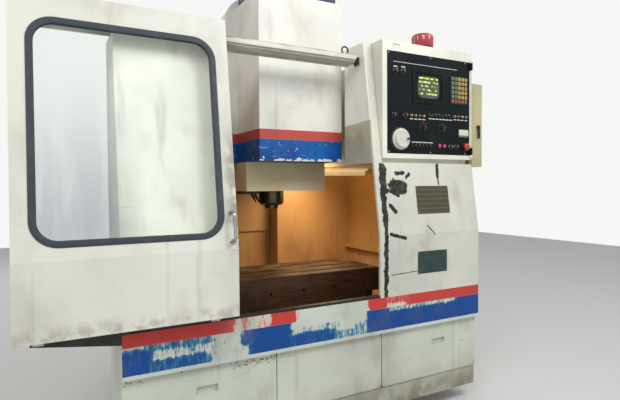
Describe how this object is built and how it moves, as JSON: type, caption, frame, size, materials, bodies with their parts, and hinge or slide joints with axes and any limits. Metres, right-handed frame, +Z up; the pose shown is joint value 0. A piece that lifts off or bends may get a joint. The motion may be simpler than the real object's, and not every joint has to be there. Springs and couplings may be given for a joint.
{
  "type": "cnc machining center",
  "caption": "Enclosed vertical machining centre with a leaning front, a sliding window door, a striped head over a slotted table, and a hinged control panel.",
  "frame": {"origin": "on the floor, in the middle of the four anchor holes", "axes": "+X to the operator's right, +Y away from the operator, +Z up; the front faces -Y"},
  "size_m": [2.463, 2.3253, 2.451],
  "materials": {
    "white_paint": "satin",
    "cream_paint": "satin",
    "tan_paint": "satin",
    "cast_paint": "painted",
    "machined_iron": "machined",
    "bright_steel": "ground",
    "dark_steel": "oiled",
    "brown_steel": "worn",
    "blue_paint": "satin",
    "motor_paint": "satin",
    "chrome": "polished",
    "seal_rubber": "matte",
    "window_glass": "clear",
    "panel_black": "semi gloss",
    "screen_glass": "gloss",
    "key_plastic": "matte",
    "dark_plastic": "matte",
    "white_plastic": "matte",
    "red_plastic": "gloss",
    "magenta_plastic": "gloss",
    "lamp_white": "gloss"
  },
  "bodies": {
    "machine": {"base_casting": "cast_paint", "levelling_pads": "dark_steel", "column": "cast_paint", "axis_motors": "motor_paint", "chip_tray": "tan_paint", "front_cover": "white_paint", "lower_panel_left": "white_paint", "lower_panel_middle": "white_paint", "lower_panel_right": "white_paint", "toe_strip": "white_paint", "left_front_panel": "white_paint", "right_cabinet": "white_paint", "upper_housing": "cream_paint", "side_wall_left": "tan_paint", "side_wall_right": "tan_paint", "rear_guard": "tan_paint", "top_rail": "white_paint", "lower_guide": "dark_steel", "rail_bracket": "brown_steel", "lifting_eyes": "dark_steel", "work_lamp": "lamp_white", "electrical_cabinet": "cream_paint", "side_box": "cream_paint", "control_box": "cream_paint", "beacon": "red_plastic", "magazine_guide": "cast_paint"},
    "saddle": {"saddle": "machined_iron", "x_motor": "motor_paint"},
    "table": {"table": "machined_iron"},
    "head": {"head_casting": "cast_paint", "head_cover": "white_paint", "head_rear_cover": "white_paint", "spindle_motor": "blue_paint", "spindle_cartridge": "dark_steel", "z_way_cover": "tan_paint", "coolant_nozzles": "dark_steel"},
    "spindle": {"spindle": "bright_steel"},
    "y_screw": {"y_screw": "bright_steel"},
    "x_screw": {"x_screw": "bright_steel"},
    "z_screw": {"z_screw": "bright_steel"},
    "magazine_carriage": {"magazine_carriage": "dark_steel"},
    "magazine_drum": {"magazine_drum": "bright_steel"},
    "door": {"door_panel": "white_paint", "door_seal": "seal_rubber", "door_pane": "window_glass", "door_handle": "chrome"},
    "door_roller_left": {"door_roller_left": "bright_steel"},
    "door_roller_right": {"door_roller_right": "bright_steel"},
    "panel": {"control_panel": "panel_black", "screen": "screen_glass", "keypad": "key_plastic"},
    "handwheel": {"handwheel": "white_plastic"},
    "feed_dial": {"feed_dial": "dark_plastic"},
    "mode_dial": {"mode_dial": "dark_plastic"},
    "emergency_stop": {"emergency_stop": "red_plastic"},
    "start_button": {"start_button": "magenta_plastic"},
    "stop_button": {"stop_button": "magenta_plastic"},
    "side_box_door": {"side_box_door": "cream_paint"},
    "side_box_latch": {"side_box_latch": "dark_steel"}
  },
  "joints": [
    {"name": "door_slide", "type": "slide", "parent": "machine", "child": "door", "axis": [1, 0, 0], "range_m": [0, 0.818]},
    {"name": "left_roller_spin", "type": "hinge", "parent": "door", "child": "door_roller_left", "pos_m": [-1.241, -0.875, 2.0133], "axis": [0, 1, 0], "continuous": true},
    {"name": "right_roller_spin", "type": "hinge", "parent": "door", "child": "door_roller_right", "pos_m": [-0.7, -0.875, 2.0133], "axis": [0, 1, 0], "continuous": true},
    {"name": "saddle_slide", "type": "slide", "parent": "machine", "child": "saddle", "axis": [0, 1, 0], "range_m": [0, 0.44]},
    {"name": "table_slide", "type": "slide", "parent": "saddle", "child": "table", "axis": [1, 0, 0], "range_m": [-0.35, 0.35]},
    {"name": "head_slide", "type": "slide", "parent": "machine", "child": "head", "axis": [0, 0, 1], "range_m": [-0.3, 0.1]},
    {"name": "spindle_spin", "type": "hinge", "parent": "head", "child": "spindle", "pos_m": [0, -0.25, 1.2], "axis": [0, 0, 1], "continuous": true},
    {"name": "y_screw_spin", "type": "hinge", "parent": "machine", "child": "y_screw", "pos_m": [0, -0.25, 0.428], "axis": [0, 1, 0], "continuous": true},
    {"name": "x_screw_spin", "type": "hinge", "parent": "saddle", "child": "x_screw", "pos_m": [0, -0.47, 0.5823], "axis": [1, 0, 0], "continuous": true},
    {"name": "z_screw_spin", "type": "hinge", "parent": "machine", "child": "z_screw", "pos_m": [0, 0.381, 1.6], "axis": [0, 0, 1], "continuous": true},
    {"name": "magazine_slide", "type": "slide", "parent": "machine", "child": "magazine_carriage", "axis": [1, 0, 0], "range_m": [0, 0.3]},
    {"name": "magazine_spin", "type": "hinge", "parent": "magazine_carriage", "child": "magazine_drum", "pos_m": [-0.53, -0.25, 1.1], "axis": [0, 0, 1], "continuous": true},
    {"name": "panel_hinge", "type": "hinge", "parent": "machine", "child": "panel", "pos_m": [0.968, -1.004, 1.7], "axis": [0, 0, 1], "range_deg": [0, 110]},
    {"name": "handwheel_spin", "type": "hinge", "parent": "panel", "child": "handwheel", "pos_m": [0.438, -0.996, 1.533], "axis": [0, 1, 0], "continuous": true},
    {"name": "feed_dial_turn", "type": "hinge", "parent": "panel", "child": "feed_dial", "pos_m": [0.603, -0.996, 1.608], "axis": [0, 1, 0], "range_deg": [-135, 135]},
    {"name": "mode_dial_turn", "type": "hinge", "parent": "panel", "child": "mode_dial", "pos_m": [0.745, -0.996, 1.608], "axis": [0, 1, 0], "range_deg": [-90, 90]},
    {"name": "emergency_stop_push", "type": "slide", "parent": "panel", "child": "emergency_stop", "axis": [0, 1, 0], "range_m": [0, 0.006], "stiffness_N_per_m": 900},
    {"name": "start_button_push", "type": "slide", "parent": "panel", "child": "start_button", "axis": [0, 1, 0], "range_m": [0, 0.004], "stiffness_N_per_m": 400},
    {"name": "stop_button_push", "type": "slide", "parent": "panel", "child": "stop_button", "axis": [0, 1, 0], "range_m": [0, 0.004], "stiffness_N_per_m": 400},
    {"name": "side_box_door_hinge", "type": "hinge", "parent": "machine", "child": "side_box_door", "pos_m": [1.066, -0.819, 1.6], "axis": [0, 0, 1], "range_deg": [0, 110]},
    {"name": "side_box_latch_turn", "type": "hinge", "parent": "machine", "child": "side_box_latch", "pos_m": [1.025, -1.005, 1.6255], "axis": [0, -1, 0], "range_deg": [0, 90]}
  ],
  "couplings": [
    {"joint": "left_roller_spin", "follows": "door_slide", "rad_per_m": 50},
    {"joint": "right_roller_spin", "follows": "door_slide", "rad_per_m": 50},
    {"joint": "y_screw_spin", "follows": "saddle_slide", "rad_per_m": 523.6},
    {"joint": "x_screw_spin", "follows": "table_slide", "rad_per_m": 523.6},
    {"joint": "z_screw_spin", "follows": "head_slide", "rad_per_m": 523.6}
  ]
}
